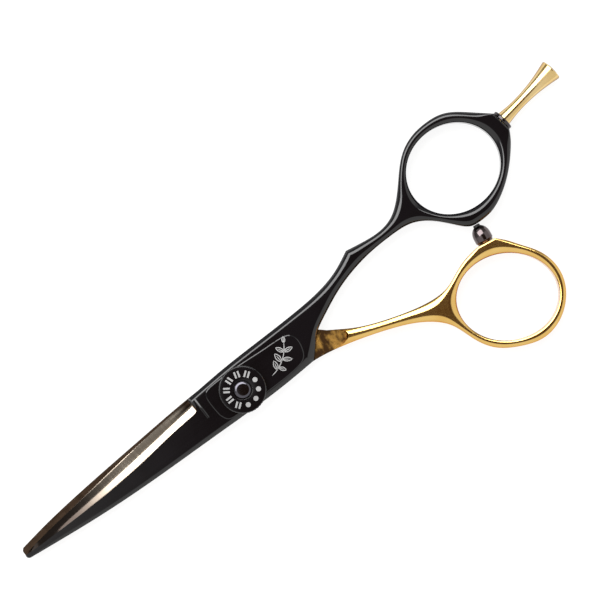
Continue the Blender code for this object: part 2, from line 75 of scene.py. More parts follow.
# Rows of an outline are ROW_SPACING apart, and the points in a half's flat caps CAP_GRID. FILL_INSIDE is
# Delaunay's number for filling inside the rims.
ROW_SPACING = 0.35
CAP_GRID = 1.25
FILL_INSIDE = 1
CREASE_ANGLE = 26
SLOPES = {
    "body": ((0, 44), (0.5, 42), (0.68, 32), (0.84, 17), (1, CROWN_SLOPE)),
    "oval": ((0, 50), (0.2, 46), (0.42, 40), (0.55, 30), (0.82, 14), (1, CROWN_SLOPE)),
    "round": ((0, 50), (0.12, 43), (0.24, 30), (0.5, 22), (0.8, 13), (1, CROWN_SLOPE)),
}
GRIND = (
    (0, 0.6), (0.03, 0.7), (0.09, 0.9), (0.45, 0.82), (0.6, 0.68), (0.72, 0.45), (0.82, 0.22),
    (1, 0.15),
)
HEEL_GRIND = (
    (0, 0.6), (0.03, 0.7), (0.09, 0.9), (0.31, 0.82), (0.43, 0.68), (0.54, 0.45), (0.68, 0.2),
    (1, 0.13),
)
TIP_GRIND = ((0, 0.7), (0.03, 0.75), (0.09, 0.8), (1, 0.75))
# Where along X the grind changes from that of the tip to the blade's, and on to the heel's, and where
# it ends.
TIP_GRIND_RUN = (-58, -46)
HEEL_GRIND_RUN = (-32, -16)
GRIND_END = -11.5
# Where along X the handle's section takes over from the body's.
HANDLE_RUN = (20, 32)

# Pivot.
HEAD_RADIUS = 4.6
HEAD_THICK = 0.9
NECK_RADIUS = 1.9
NECK_FLAT = 1.6
SHAFT_RADIUS = 1.5
SHAFT_FLAT = 1.2
SHAFT_TOP = 6.75
FIT_GAP = 0.1
BUSH_RADIUS = 2.0
GROOVE_INNER = 2.5
GROOVE_OUTER = 4.4
GROOVE_DEPTH = 0.55
COUNTERBORE_RADIUS = 4.4
COUNTERBORE_Z = 5.0
DIAL_RADIUS = 5.65
DIAL_BEVEL = 0.22
DIAL_LOW = 5.76
DIAL_HIGH = 7.1
FLUTES = 44
FLUTE_DEPTH = 0.13
FLUTE_START = 0.06
WELL_RADIUS = 2.35
WELL_Z = 6.6
CAP_RADIUS = 2.04
CAP_LOW = 6.85
CAP_SIDE = 0.57
CAP_SHANK_RADIUS = 0.7
CAP_SHANK_LOW = 5.85
# Slope in degrees of the cap's dome, at shares of the way from its rim to its middle.
CAP_SLOPES = ((0, 66), (0.1, 30), (0.3, 6), (0.4, 2), (1, 0))
SPANNER_HOLE_RADIUS = 0.45
SPANNER_HOLE_DEPTH = 0.5
SPANNER_HOLE_X = 2.7

# Rings: centre, half axes and the angle of the longer axis.
FINGER_HOLE = ((71.25, 11.8), (11.6, 10.45), 0.0)
THUMB_HOLE = ((63.3, -20.25), (12.25, 10.35), -29.3)

# Where the finger rest and the bumper stand on the rings, and the angle each points at.
REST_SEAT = ((86.95, 13.8), 9.0)
BUMPER_SEAT = ((66.9, -7.0), 82.0)
REST_LENGTH = 17.2
REST_STUD_RADIUS = 1.0
REST_STUD_LENGTH = 2.6
REST_HOLE = (1.1, 2.9)
REST_SIDE = ((1.45, 4.4), (1.42, 7.9), (1.8, 12.2))
COLLAR_THICK = 0.9
COLLAR_RADIUS = 2.65
COLLAR_BORE = 1.1
BUMPER_RADIUS = 2.2
BUMPER_STUD_RADIUS = 0.9
BUMPER_STUD_LENGTH = 1.5
BUMPER_HOLE = (1.0, 1.7)
BUMPER_DOME = 2.0
BUMPER_TOP = 4.65
SOCKET_RADIUS = 0.95
SOCKET_Z = 2.6
PAD_RADIUS = 0.85
PAD_TOP = 4.95

# Shoulder widths at places along X, for both halves up to the pivot and then for each handle.
SHOULDER_AT = (-64.8, -62, -55, -10, 20, 32)
FINGER_WIDTHS = (0.2, 0.4, 0.75, 1.1, 1.2, 1.5)
THUMB_WIDTHS = (0.2, 0.4, 0.75, 1.1, 1.3, 1.75)
FINGER_SHARE = 0.43
# The corner where the finger half's handle begins: place, extra width of the shoulder and its reach.
CORNER_X = 17
CORNER_WIDTH = 0.8
CORNER_REACH = 2.5
# The thumb ring's sections change over these stretches of X and Y.
THUMB_RING_RUN = (46, 53)
THUMB_RING_RISE = (-27, -14)

# Outlines in the XY plane, as corners of a smooth curve. A third value is the width of the ground
# slope that starts there.
FINGER_EDGE = (
    (-64.8, -0.3, 0.25), (-60, 0.5, 1.15), (-50, 1.75, 2.75), (-40, 2.95, 3.35),
    (-30, 4.1, 3.7), (-20, 5.05, 3.45), (-14, 5.6, 3.5),
)
FINGER_SHOULDER = ((-14, 5.6, 3.55), (-12.6, 5.78, 3.5), (-11.4, 5.95, 3.1))
FINGER_BACK = ((-11.4, 5.95), (0, 6.7), (10, 6.9), (20, 7.1), (28, 7.7), (34, 9.1), (39.2, 11.5))
FINGER_RING_TOP = (
    (39.2, 11.5), (44, 10.7), (48, 10.4), (52, 11.2), (56, 14), (60, 18.3), (64, 22),
    (68, 23.8), (72, 24.3), (77, 23.6), (82, 20.3), (86.55, 16.4),
)
FINGER_RING_LOW = (
    (87.35, 11.2), (86.2, 9.1), (84.6, 7.0), (80, 2.4), (76, -0.3), (72, -1.85), (69, -2.05),
    (66.6, -1.75), (64, 0.4), (60, 4.7), (56, 7.2), (50, 7.95), (44, 7.75), (38, 6.8), (32, 5.0),
    (26, 2.3), (22, 0), (19.6, -2.4), (17.5, -4.7),
)
FINGER_SPINE = (
    (17.5, -4.7), (8, -5.15), (-2, -5.15), (-12, -4.9), (-30, -4.45), (-45, -3.6), (-58, -2.3),
    (-64.2, -1.6),
)
FINGER_TIP = ((-64.2, -1.6), (-64.65, -1.25), (-64.8, -0.9), (-64.8, -0.3))

THUMB_TIP = ((-64.8, -0.4), (-64.8, 0.6), (-64.2, 1.3))
THUMB_SPINE = (
    (-64.2, 1.3), (-58, 2.3), (-45, 3.75), (-30, 4.9), (-20, 5.6), (-12, 6.05), (-4, 6.2),
    (4, 5.8), (12, 4.5), (18, 3.0), (21.5, 1.5), (24.3, -0.8),
)
THUMB_SHANK_TOP = (
    (24.3, -0.8), (27, -2.5), (30, -4.3), (36, -6.9), (42, -8.8), (49, -10.15), (53, -9.95),
    (57, -8.4), (61, -7.05), (64.7, -6.6),
)
THUMB_RING = (
    (69.1, -7.3), (71, -9.3), (73, -12.1), (75.4, -15.6), (76.9, -20.6), (76.3, -25),
    (73.6, -29.2), (69.5, -32.1), (64.5, -33.1), (58.6, -31.3), (53.6, -27.9), (50.9, -23.4),
    (48.6, -17.6), (46, -14.7), (42, -12.0), (36, -9.4), (30, -7.4), (24, -5.8), (17.5, -4.75),
    (8, -4.9), (-2, -4.95), (-11.4, -4.6),
)
THUMB_SHOULDER = ((-11.4, -4.6, 3.0), (-12.6, -4.52, 3.2), (-14, -4.4, 3.2))
THUMB_EDGE = (
    (-14, -4.4, 3.2), (-20, -4.1, 3.3), (-30, -3.5, 3.4), (-40, -2.75, 3.3), (-50, -1.85, 2.7),
    (-60, -0.95, 1.3), (-64.8, -0.4, 0.3),
)
# Raised panel round the pivot, the mark across the ricasso, and the rounded end of the gold half's neck.
PANEL = (
    (-8.0, -1.6), (-6.9, -3.6), (-4.5, -4.05), (0, -4.05), (8, -4.0), (13.2, -3.7), (16.2, -2.6),
    (17.2, -0.6), (17.4, 2.2), (16.6, 3.6), (14.5, 4.35), (10, 4.65), (5, 5.0), (0, 5.25), (-5, 5.2),
    (-7.6, 4.5), (-8.2, 2.2),
)
PANEL_RISE = 0.1
PANEL_BEVEL = 0.2
RICASSO_X = -10.45
RICASSO_Y = 4.5
RICASSO_CUT = 0.45
RICASSO_RISE = 0.34
RICASSO_TURN = 91
NECK_END = (
    (26.2, 25), (26.2, 2), (26.3, -1), (26.75, -2.3), (27.35, -3.0), (27.6, -3.75), (27.35, -4.5),
    (26.65, -5.15), (25.5, -5.6), (24.4, -6.1), (23.4, -8.5), (23.0, -25),
)
# Marks on the dial: ten places, six of them pairs of bars and the rest dots.
MARK_RADIUS = 3.78
MARK_START = 218
MARK_STEP = 36
MARK_PLACES = 10
BAR_PLACES = 6
BAR_LENGTH = 1.56
BAR_WIDTH = 0.44
BAR_OFFSET = 0.42
DOT_RADIUS = 0.6

# The sprig: its stem, and for each leaf the share of the stem it grows at, angle, length and width.
SPRIG_LINE = 0.2
SPRIG_STEM = ((7.6, -1.6), (9.4, -1.2), (11.4, -0.2), (13.2, 1.3), (14.4, 3.0))
SPRIG_LEAVES = (
    (0.2, 75, 2.3, 0.55), (0.28, -55, 1.9, 0.45), (0.48, 95, 2.5, 0.6), (0.52, -35, 2.4, 0.5),
    (0.74, 118, 2.2, 0.5), (0.76, -8, 2.3, 0.5), (1.0, 60, 1.5, 0.4),
)

# Camera and lights: directions are an azimuth in the XY plane and an angle from straight above.
VIEW_WIDTH = 145.8
VIEW_CENTRE = (23.9, 6.25)
VIEW_DISTANCE = 700
VIEW_TURN = -37
SENSOR_WIDTH = 36
TENT = (0.85, 0.838, 0.82)
OPENING = (0.07, 0.038, 0.022)
OPENING_AT = (-20, 12)
BEHIND_SOFTBOX = 0.35
FLOOR_GLOW = 0.88
FLOOR_SIZE = 2.0
LIGHT_X = 24

# Colours of the gold. The side colours are painted shade: darker tones on steep sides, standing in for the
# dark those sides reflect.
GOLD = (0.93, 0.64, 0.22)
GOLD_DEEP = (0.87, 0.55, 0.16)
GOLD_SIDE_SHADE = (0.66, 0.3, 0.06)
REST_GOLD = ((0.78, 0.56, 0.24), (0.84, 0.64, 0.32))
REST_SIDE_SHADE = (0.3, 0.16, 0.06)


# --- Curves ---


def smooth_through(corners, spacing):
    """Rows about `spacing` apart on the natural cubic spline through the corners."""
    knots = np.array(corners, float)
    chord = np.linalg.norm(np.diff(knots[:, :2], axis=0), axis=1)
    at = np.concatenate([[0], np.cumsum(chord)])
    size = len(knots)
    matrix = np.eye(size)
    right = np.zeros_like(knots)
    for i in range(1, size - 1):
        before, after = chord[i - 1], chord[i]
        matrix[i, i - 1 : i + 2] = (before, 2 * (before + after), after)
        right[i] = 6 * ((knots[i + 1] - knots[i]) / after - (knots[i] - knots[i - 1]) / before)
    bend = np.linalg.solve(matrix, right)

    def curve(where):
        i = np.clip(np.searchsorted(at, where) - 1, 0, size - 2)
        span = chord[i][:, None]
        b = ((where - at[i])[:, None]) / span
        a = 1 - b
        lift = ((a**3 - a) * bend[i] + (b**3 - b) * bend[i + 1]) * span**2 / 6
        return a * knots[i] + b * knots[i + 1] + lift

    dense = curve(np.linspace(0, at[-1], 40 * size))
    run = np.concatenate([[0], np.cumsum(np.linalg.norm(np.diff(dense[:, :2], axis=0), axis=1))])
    stops = np.linspace(0, run[-1], max(2, round(run[-1] / spacing)) + 1)
    return np.stack([np.interp(stops, run, column) for column in dense.T], axis=1)


def joined(*stretches):
    """One counter-clockwise loop from clockwise stretches of corners, as rows of x, y, slope width and
    ground share. A stretch is ground where it has slope widths, and the grind ends at the ricasso."""
    rows = []
    for corners in stretches:
        curve = smooth_through(corners, ROW_SPACING)
        curve[:, 0] = np.maximum(curve[:, 0], TIP_X)
        ground = np.zeros(len(curve))
        if curve.shape[1] == 2:
            curve = np.column_stack([curve, ground])
        else:
            ground = np.interp(curve[:, 0], (GRIND_END - 0.5, GRIND_END), (1, 0))
        curve = np.column_stack([curve, ground])
        if rows and np.linalg.norm(rows[-1][:2] - curve[0, :2]) < ROW_SPACING / 2:
            curve = curve[1:]
        rows.extend(curve)
    if np.linalg.norm(rows[0][:2] - rows[-1][:2]) < ROW_SPACING / 2:
        rows.pop()
    return np.array(rows)[::-1]


def ellipse(hole):
    """Clockwise loop of the same kind of rows round an elliptical hole."""
    (cx, cy), (a, b), tilt = hole
    count = round(math.pi * (a + b) / ROW_SPACING)
    turn = -np.linspace(0, 2 * math.pi, count, endpoint=False)
    x, y = a * np.cos(turn), b * np.sin(turn)
    c, s = math.cos(math.radians(tilt)), math.sin(math.radians(tilt))
    nothing = np.zeros(count)
    return np.column_stack([cx + c * x - s * y, cy + s * x + c * y, nothing, nothing])


def blurred(values, reach):
    """The values round a closed loop, averaged with a bell-shaped weight over `reach` rows each way."""
    steps = np.arange(-3 * reach, 3 * reach + 1)
    weights = np.exp(-0.5 * (steps / reach) ** 2)
    weights /= weights.sum()
    return sum(w * np.roll(values, s, axis=0) for w, s in zip(weights, steps))


def inward(loop):
    """Unit normals to the left of a loop, eased round its corners."""
    along = np.roll(loop[:, :2], -1, axis=0) - np.roll(loop[:, :2], 1, axis=0)
    left = blurred(np.column_stack([-along[:, 1], along[:, 0]]), 4)
    return left / np.linalg.norm(left, axis=1)[:, None]


def room(loop, normal, walls):
    """Width of the shape at each point of a loop: the diameter of the ball that fits inside it there."""
    points = np.concatenate([wall[:, :2] for wall in walls])
    free = np.empty(len(loop))
    for i, (point, ray) in enumerate(zip(loop[:, :2], normal)):
        gap = points - point
        ahead = gap @ ray
        square = (gap**2).sum(axis=1)
        faced = ahead > 0.35 * np.sqrt(square) + 0.05
        free[i] = (square[faced] / ahead[faced]).min() if faced.any() else 50
    low = np.min([np.roll(free, s) for s in range(-3, 4)], axis=0)
    return np.minimum(blurred(low, 3), free)


# --- The halves' surface ---


def outer_face(x):
    """Height of a half's outer face: level at the pivot, falling to the tip and rising to the handle."""
    out = np.clip((TAPER_START - x) / (TAPER_START - TIP_X), 0, 1) ** TAPER_POWER
    up = np.clip((x - HANDLE_RISE_START) / HANDLE_RISE_RUN, 0, 1)
    tip = CONTACT_Z + BLADE_GAP + TIP_THICK
    return BODY_OUT - (BODY_OUT - tip) * out + (HANDLE_HIGH - BODY_OUT) * up**2 * (3 - 2 * up)


def slope_tangents(section, shares):
    at, degrees = zip(*SLOPES[section])
    return np.tan(np.radians(np.interp(shares, at, degrees)))[:, None]


def side_rings(loop, walls, widest, most, section):
    """Closed rings of (x, y, z) rows from the top of the wall up to the flat of the outer face. `widest`
    and `most` are the shoulder's width and its most share of the room, row by row, and `section` is the
    handle's, which takes over from the body's between the pivot and the shank."""
    normal = inward(loop)
    x, slope, ground = loop[:, 0], loop[:, 2], loop[:, 3]
    free = room(loop, normal, walls)
    slope = np.minimum(slope, 0.5 * free)
    width = blurred(np.minimum(widest, most * free), 3)
    crown = blurred(np.clip((most + 0.01) * free - width, 0.02, CROWN_WIDTH), 3)
    crown_drop = 0.5 * crown * math.tan(math.radians(CROWN_SLOPE))
    shares = np.linspace(0, 1, SHOULDER_STEPS + 1)
    handle = np.interp(x, HANDLE_RUN, (0, 1))
    tangents = (1 - handle) * slope_tangents("body", shares) + handle * slope_tangents(section, shares)
    rises = 0.5 * (tangents[1:] + tangents[:-1]) / SHOULDER_STEPS
    drops = np.concatenate([np.cumsum(rises[::-1], axis=0)[::-1], np.zeros((1, len(loop)))]) * width
    land = CONTACT_Z + BLADE_GAP + EDGE_LAND
    total = SHOULDER_STEPS + CROWN_STEPS
    ground_share = np.concatenate([[0, 0.03], np.linspace(0.09, 1, total - 1)])
    near_tip = np.interp(x, TIP_GRIND_RUN, (1, 0))
    near_heel = np.interp(x, HEEL_GRIND_RUN, (0, 1))
    steepness = np.outer(np.interp(ground_share, *zip(*GRIND)), 1 - near_tip - near_heel)
    steepness += np.outer(np.interp(ground_share, *zip(*TIP_GRIND)), near_tip)
    steepness += np.outer(np.interp(ground_share, *zip(*HEEL_GRIND)), near_heel)
    gains = (steepness[1:] + steepness[:-1]) * np.diff(ground_share)[:, None]
    ground_rise = np.cumsum(np.vstack([0 * x, gains]), axis=0)
    ground_rise /= ground_rise[-1]
    rings = []
    for step in range(total + 1):
        part = max(0, step - SHOULDER_STEPS) / CROWN_STEPS
        across = width * shares[min(step, SHOULDER_STEPS)] + crown * part
        below = crown_drop * (1 - part) ** 2 + drops[min(step, SHOULDER_STEPS)]
        across = (1 - ground) * across + ground * slope * ground_share[step]
        place = loop[:, :2] + normal * across[:, None]
        top = outer_face(place[:, 0])
        height = top - (1 - ground) * below - ground * (top - land) * (1 - ground_rise[step])
        rings.append(np.column_stack([place, height]))
    place = place + normal * RIM_OVERLAP
    rings.append(np.column_stack([place, outer_face(place[:, 0])]))
    return rings


def filled(loops):
    """Points on a square grid inside the first loop and outside the second, and the triangles, wound
    to face up, that fill the room between them through those points. The second loop is convex, so the
    triangles with all their corners on it are the ones inside it."""
    everything = np.vstack(loops)
    low, high = everything.min(axis=0), everything.max(axis=0)
    grid = np.meshgrid(*(np.arange(low[k], high[k], CAP_GRID) for k in (0, 1)))
    grid = np.column_stack([part.ravel() for part in grid])
    crossings = np.zeros(len(grid), int)
    for loop in loops:
        for (x0, y0), (x1, y1) in zip(loop, np.roll(loop, -1, axis=0)):
            spans = (grid[:, 1] < y0) != (grid[:, 1] < y1)
            if spans.any():
                crossings += spans & (grid[:, 0] < x0 + (grid[:, 1] - y0) * (x1 - x0) / (y1 - y0))
    grid = grid[crossings % 2 == 1]
    nearest = np.array([np.hypot(*(everything - point).T).min() for point in grid])
    grid = grid[nearest > 0.4 * CAP_GRID]
    rims, start = [], 0
    for loop in loops:
        rims += [(start + i, start + (i + 1) % len(loop)) for i in range(len(loop))]
        start += len(loop)
    spots = [Vector(point) for point in (*everything, *grid)]
    result = delaunay_2d_cdt(spots, rims, [], FILL_INSIDE, 1e-7)
    origin = [sources[0] for sources in result[3]]
    triangles = [[origin[k] for k in face] for face in result[2]]
    outer, both = len(loops[0]), len(everything)
    return grid, [t for t in triangles if not all(outer <= k < both for k in t)]


def half_rings(loop, walls, shape):
    """The rings of a wall in two lists, going up: those of the underside, which mirror a plain shoulder
    and stay clear of the contact plane, and those of the outer face."""
    plain = loop.copy()
    plain[:, 2:] = 0
    mirrored = (0, 0, HANDLE_HIGH + HANDLE_LOW)
    lower = [ring * (1, 1, -1) + mirrored for ring in side_rings(plain, walls, *shape)]
    for ring in lower:
        ring[:, 2] = np.minimum(ring[:, 2], UNDERSIDE_TOP)
    return lower[::-1], side_rings(loop, walls, *shape)


def wall_faces(loop, lower, upper, start):
    """The faces between a wall's rings, the first of whose points is number `start`, and for each face
    1 where it is on the ground slope and 0 elsewhere."""
    count, levels = len(loop), len(lower) + len(upper) - 1
    faces, kinds = [], []
    for level in range(levels):
        ground_band = len(lower) <= level < levels - 1
        a = start + level * count
        for i in range(count):
            j = (i + 1) % count
            faces.append((a + i, a + j, a + count + j, a + count + i))
            kinds.append(int(ground_band and loop[i, 3] + loop[j, 3] > 1))
    return faces, kinds


def cap_faces(points, rims, faces_down):
    """Triangles that close a half between two rims of point numbers, through points added to the list."""
    order = [index for rim in rims for index in rim]
    inside, triangles = filled([np.array([points[i][:2] for i in rim]) for rim in rims])
    height = outer_face(inside[:, 0])
    if faces_down:
        height = np.minimum(HANDLE_HIGH + HANDLE_LOW - height, UNDERSIDE_TOP)
    order.extend(range(len(points), len(points) + len(inside)))
    points.extend(np.column_stack([inside, height]))
    return [[order[k] for k in (face[::-1] if faces_down else face)] for face in triangles]


def half_mesh(name, outline, hole, sections, materials, turned_over):
    """The closed mesh of a half, from walls round its outline and its hole and a cap above and below.
    Faces of the ground slope take the second material. `sections` gives, for the outline and then for
    the hole, what side_rings takes as its last three arguments."""
    walls = (outline, hole)
    points, faces, kinds = [], [], []
    rims_low, rims_high = [], []
    for loop, section in zip(walls, sections):
        lower, upper = half_rings(loop, walls, section(loop[:, 0], loop[:, 1]))
        start, count = len(points), len(loop)
        points.extend(row for ring in (*lower, *upper) for row in ring)
        band, ground = wall_faces(loop, lower, upper, start)
        faces += band
        kinds += ground
        rims_low.append(range(start, start + count))
        rims_high.append(range(len(points) - count, len(points)))
    faces += cap_faces(points, rims_low, True) + cap_faces(points, rims_high, False)
    kinds += [0] * (len(faces) - len(kinds))
    points = np.array(points)
    if turned_over:
        points[:, 2] = 2 * CONTACT_Z - points[:, 2]
        faces = [face[::-1] for face in faces]
    mesh = bpy.data.meshes.new(name)
    mesh.from_pydata((points * MM).tolist(), [], faces)
    for mat in materials:
        mesh.materials.append(mat)
    mesh.polygons.foreach_set("material_index", kinds)
    return mesh


def turned(profile, sides, shape=None):
    """Points and faces of a solid of revolution about Z. Rows are (radius, z) or (radius, z, flat), and
    `shape`, where given, maps (radius, z, angle) to a radius. A profile off the axis closes on itself."""
    points, rows = [], []
    for radius, z, *flat in profile:
        if radius == 0:
            rows.append([len(points)] * sides)
            points.append((0, 0, z))
            continue
        rows.append(list(range(len(points), len(points) + sides)))
        for k in range(sides):
            angle = 2 * math.pi * k / sides
            reach = min(radius, flat[0] / max(abs(math.cos(angle)), 1e-6)) if flat else radius
            reach = shape(reach, z, angle) if shape else reach
            points.append((reach * math.cos(angle), reach * math.sin(angle), z))
    if profile[0][0] > 0:
        rows.append(rows[0])
    faces = []
    for lower, upper in zip(rows, rows[1:]):
        for k in range(sides):
            j = (k + 1) % sides
            faces.append(tuple(dict.fromkeys((lower[k], lower[j], upper[j], upper[k]))))
    return points, faces


def eased(profile, radius, steps=4):
    """A profile with its corners rounded off. Corners on the axis and rows with a flat stay as they are."""
    rounded = []
    count = len(profile)
    closed = profile[0][0] > 0
    for i, row in enumerate(profile):
        here = np.array(row[:2], float)
        before = np.array(profile[i - 1][:2], float)
        after = np.array(profile[(i + 1) % count][:2], float)
        at_end = not closed and i in (0, count - 1)
        if at_end or len(row) > 2:
            rounded.append(row)
            continue
        back, on = before - here, after - here
        reach = min(radius, 0.45 * np.linalg.norm(back), 0.45 * np.linalg.norm(on))
        start = here + back / np.linalg.norm(back) * reach
        end = here + on / np.linalg.norm(on) * reach
        for t in np.linspace(0, 1, steps + 1):
            rounded.append(tuple((1 - t) ** 2 * start + 2 * t * (1 - t) * here + t**2 * end))
    return rounded


def add_turned(node, profile, sides, mat, body, place=HERE):
    """Shows a piece turned about Z and moved to its place, which stands for the node of its name."""
    mesh = mesh_of(node, turned(profile, sides), mat)
    mesh.transform(place)
    add_piece(node + "_fine", mesh, body, node)


def prism(outline, low, high):
    count = len(outline)
    points = [(x, y, z) for z in (low, high) for x, y in outline]
    faces = [tuple(range(count))[::-1], tuple(range(count, 2 * count))]
    faces += [(i, (i + 1) % count, (i + 1) % count + count, i + count) for i in range(count)]
    return points, faces


def mesh_of(name, solid, mat=None):
    points, faces = solid
    mesh = bpy.data.meshes.new(name)
    mesh.from_pydata([Vector(p) * MM for p in points], [], faces)
    if mat is not None:
        mesh.materials.append(mat)
    return mesh


def new_object(name, data):
    made = bpy.data.objects.new(name, data)
    bpy.context.scene.collection.objects.link(made)
    return made


def add_piece(name, mesh, body, node=None):
    """Shows a mesh as a piece that rides on a body and, where a node is given, stands for it."""
    mesh.shade_smooth()
    mesh.set_sharp_from_angle(angle=math.radians(CREASE_ANGLE))
    piece = new_object(name, mesh)
    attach(piece, body)
    if node:
        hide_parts(node)


def combined(mesh, *steps):
    """The mesh with solids cut from it or joined to it. A step is a (points, faces) solid, the matrix
    that places it and, where it is joined on, the word UNION."""
    block = new_object("block", mesh)
    helpers = []
    for solid, matrix, *operation in steps:
        helper = new_object("cutter", mesh_of("cutter", solid))
        helper.matrix_world = matrix
        boolean = block.modifiers.new("cut", "BOOLEAN")
        boolean.object = helper
        boolean.operation = operation[0] if operation else "DIFFERENCE"
        boolean.solver = "EXACT"
        helpers.append(helper)
    bpy.context.view_layer.update()
    result = bpy.data.meshes.new_from_object(block.evaluated_get(bpy.context.evaluated_depsgraph_get()))
    for helper in (block, *helpers):
        bpy.data.objects.remove(helper)
    result.name = mesh.name
    return result


def pointing(place, angle):
    """The matrix that stands a piece made along +Z on a point at mid-height, pointing in the XY plane."""
    place = Matrix.Translation(Vector((*place, CONTACT_Z)) * MM)
    return place @ Matrix.Rotation(math.radians(angle), 4, "Z") @ Matrix.Rotation(math.pi / 2, 4, "Y")


def flipped(solid):
    points, faces = solid
    return [(x, y, 2 * CONTACT_Z - z) for x, y, z in points], [face[::-1] for face in faces]


def lap_wall(radius):
    """The line from +Y to -Y that bounds a lap, about the pivot."""
    reach = math.radians(50)
    return [(radius * math.cos(t), radius * math.sin(t)) for t in np.linspace(reach, -reach, 161)]


def stacked(outline, levels):
    """A closed solid from copies of a counter-clockwise outline, one for each (height, growth) level."""
    loop = np.array(outline)
    out = -inward(loop)
    count = len(loop)
    points, faces = [], [tuple(range(count))[::-1]]
    for height, growth in levels:
        points.extend((x, y, height) for x, y in loop + out * growth)
    for start in range(0, count * (len(levels) - 1), count):
        for i in range(count):
            j = (i + 1) % count
            faces.append((start + i, start + j, start + count + j, start + count + i))
    faces.append(tuple(range(len(points) - count, len(points))))
    return points, faces


def lap(wall):
    """The space below the contact plane that a half leaves to the other one, on the blade's side of a
    wall. The step up from it has an eased top edge."""
    outline = [(-70, 25), (-70, -25), *wall[::-1]]
    floor = CONTACT_Z + BLADE_GAP
    return stacked(outline, ((-1, 0.9), (0.55, 0.75), (1.1, 0.25), (1.5, 0), (floor, 0)))


def ring_groove(low, high):
    return turned([(GROOVE_INNER, low), (GROOVE_OUTER, low), (GROOVE_OUTER, high), (GROOVE_INNER, high)], 96)


# --- Materials ---


class Wiring:
    """Adds nodes to a material and links them up. Values passed in are sockets or plain numbers."""

    def __init__(self, nodes, links):
        self.nodes = nodes
        self.links = links
        self.coordinates = nodes.new("ShaderNodeTexCoord").outputs
        self.place = self.coordinates["Object"]

    def feed(self, socket, value):
        if isinstance(value, bpy.types.NodeSocket):
            self.links.new(value, socket)
        else:
            socket.default_value = value

    def noise(self, scale, stretch=(1, 1, 1), detail=3.0, turn=0.0):
        """Noise in cycles per metre in the piece's own space, stretched along its axes."""
        mapping = self.nodes.new("ShaderNodeMapping")
        mapping.vector_type = "TEXTURE"
        mapping.inputs["Rotation"].default_value = (0, 0, turn)
        mapping.inputs["Scale"].default_value = stretch
        texture = self.nodes.new("ShaderNodeTexNoise")
        texture.inputs["Scale"].default_value = scale
        texture.inputs["Detail"].default_value = detail
        self.links.new(self.place, mapping.inputs["Vector"])
        self.links.new(mapping.outputs["Vector"], texture.inputs["Vector"])
        return texture.outputs["Fac"]

    def ramp(self, value, start, end, low=0.0, high=1.0):
        """Maps start to end onto low to high, clamped."""
        node = self.nodes.new("ShaderNodeMapRange")
        node.interpolation_type = "SMOOTHSTEP"
        self.feed(node.inputs["Value"], value)
        for name, number in (("From Min", start), ("From Max", end), ("To Min", low), ("To Max", high)):
            self.feed(node.inputs[name], number)
        return node.outputs["Result"]

    def sums(self, operation, first, second=0.0):
        node = self.nodes.new("ShaderNodeMath")
        node.operation = operation
        self.feed(node.inputs[0], first)
        self.feed(node.inputs[1], second)
        return node.outputs[0]

    def blend(self, value, first, second):
        """Mixes two colours, or two sockets."""
        node = self.nodes.new("ShaderNodeMix")
        node.data_type = "RGBA"
        self.feed(node.inputs["Factor"], value)
        for name, colour in (("A", first), ("B", second)):
            socket = next(i for i in node.inputs if i.name == name and i.type == "RGBA")
            self.feed(socket, colour if isinstance(colour, bpy.types.NodeSocket) else (*colour, 1))
        return next(o for o in node.outputs if o.type == "RGBA")

    def axis(self, index):
        """A coordinate of the piece's own space in millimetres."""
        node = self.nodes.new("ShaderNodeSeparateXYZ")
        self.links.new(self.place, node.inputs["Vector"])
        return self.sums("MULTIPLY", node.outputs[index], 1 / MM)

    def steep(self, start, end):
        """0 where the piece's surface lies level, 1 on its sides. The limits are 1 less the cosine of
        its slope."""
        node = self.nodes.new("ShaderNodeSeparateXYZ")
        self.links.new(self.coordinates["Normal"], node.inputs["Vector"])
        return self.ramp(self.sums("ABSOLUTE", node.outputs["Z"]), 1 - start, 1 - end)

    def finish(self, shader, colour, roughness, metallic):
        self.feed(shader.inputs["Base Color"], colour)
        self.feed(shader.inputs["Roughness"], roughness)
        shader.inputs["Metallic"].default_value = metallic

    def bump(self, shader, height, strength, distance):
        node = self.nodes.new("ShaderNodeBump")
        node.inputs["Strength"].default_value = strength
        node.inputs["Distance"].default_value = distance
        self.links.new(height, node.inputs["Height"])
        self.links.new(node.outputs["Normal"], shader.inputs["Normal"])


def new_material(name):
    mat = bpy.data.materials.new(name)
    mat.use_nodes = True
    shader = mat.node_tree.nodes["Principled BSDF"]
    return mat, Wiring(mat.node_tree.nodes, mat.node_tree.links), shader


def simple_finish(name, dark, light, roughness, metallic=1.0, grain=900, edge=None):
    """A finish whose colour and roughness wander a little over a fine grain. `edge`, where given, is a
    darker colour on its steep sides: painted shade."""
    mat, wiring, shader = new_material(name)
    cloud = wiring.ramp(wiring.noise(grain / 6), 0.3, 0.7)
    fine = wiring.noise(grain * 4, detail=5)
    colour = wiring.blend(cloud, dark, light)
    if edge:
        # Painted shade: the colour turns to `edge` on steep sides.
        colour = wiring.blend(wiring.steep(0.3, 0.8), colour, edge)
    rough = wiring.ramp(fine, 0.3, 0.7, roughness * 0.8, roughness * 1.2)
    wiring.finish(shader, colour, rough, metallic)
    wiring.bump(shader, fine, 0.05, 0.00001)
    return mat


